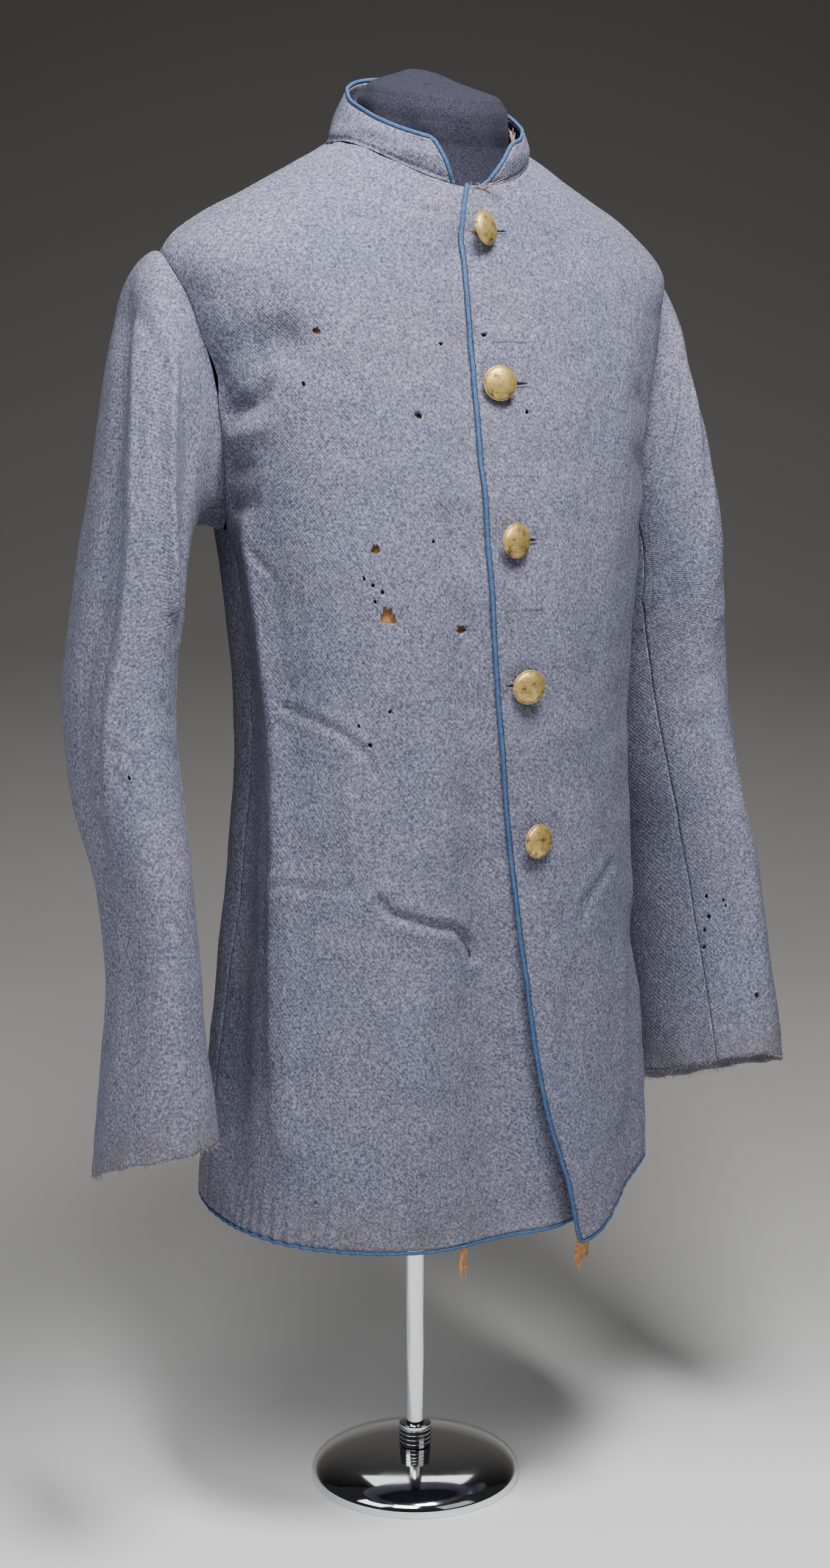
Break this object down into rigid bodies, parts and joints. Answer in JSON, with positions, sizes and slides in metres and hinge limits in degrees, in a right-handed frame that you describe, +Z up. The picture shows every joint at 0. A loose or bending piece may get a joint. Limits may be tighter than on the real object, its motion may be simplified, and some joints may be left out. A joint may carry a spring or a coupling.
{
  "type": "uniform coat on a dress form stand",
  "caption": "Single-breasted wool uniform coat with a stand collar, blue piping and domed brass buttons, on a limbless dress form with a chrome pole and round base.",
  "frame": {"origin": "centre of the stand base's flat underside", "axes": "+Z up along the pole, -Y the way the coat's front faces, -X the wearer's right arm"},
  "size_m": [0.5234, 0.2513, 0.995],
  "materials": {
    "wool": "matt fulled wool, heathered",
    "piping": "matt cord",
    "brass": "worn gilt",
    "lining": "matt, worn",
    "form_cloth": "matt jersey",
    "chrome": "polished"
  },
  "bodies": {
    "root": {"left_front": "wool", "right_front": "wool", "back": "wool", "left_sleeve_upper": "wool", "left_sleeve_under": "wool", "right_sleeve_upper": "wool", "right_sleeve_under": "wool", "collar": "wool", "collar_piping": "piping", "left_front_piping": "piping", "left_hem_piping": "piping", "back_hem_piping": "piping", "right_hem_piping": "piping", "button_1": "brass", "button_2": "brass", "button_3": "brass", "button_4": "brass", "button_5": "brass", "lining_patch": "lining", "lining_tatter_1": "lining", "lining_tatter_2": "lining", "dress_form": "form_cloth", "stand_base": "chrome", "stand_ferrule": "chrome", "stand_pole": "chrome"}
  },
  "joints": []
}
